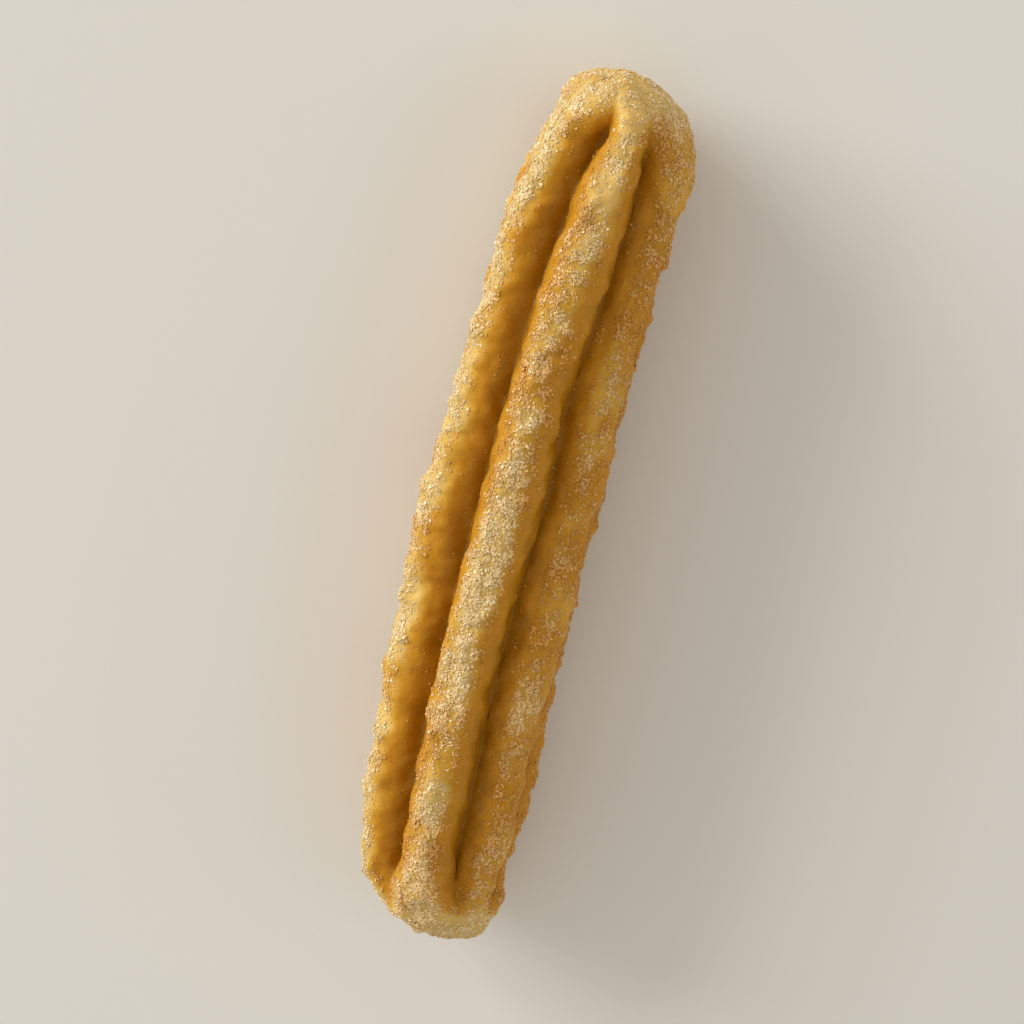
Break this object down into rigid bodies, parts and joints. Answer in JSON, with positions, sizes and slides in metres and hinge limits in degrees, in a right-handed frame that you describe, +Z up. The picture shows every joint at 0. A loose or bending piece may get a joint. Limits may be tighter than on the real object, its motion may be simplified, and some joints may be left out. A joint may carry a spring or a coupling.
{
  "type": "mini churro",
  "caption": "Short fried dough churro with fat lengthwise ridges, rounded ends and a sugar coat, lying on its side.",
  "frame": {"origin": "under the churro's middle, on the surface that it rests on", "axes": "+X along the churro, towards the end whose tip leans; +Y across it, to the side that the tip leans to; +Z up"},
  "size_m": [0.084, 0.0172, 0.0174],
  "materials": {
    "fried_dough": "matte",
    "sugar": "satin"
  },
  "bodies": {
    "root": {"churro": "fried_dough"}
  },
  "joints": []
}
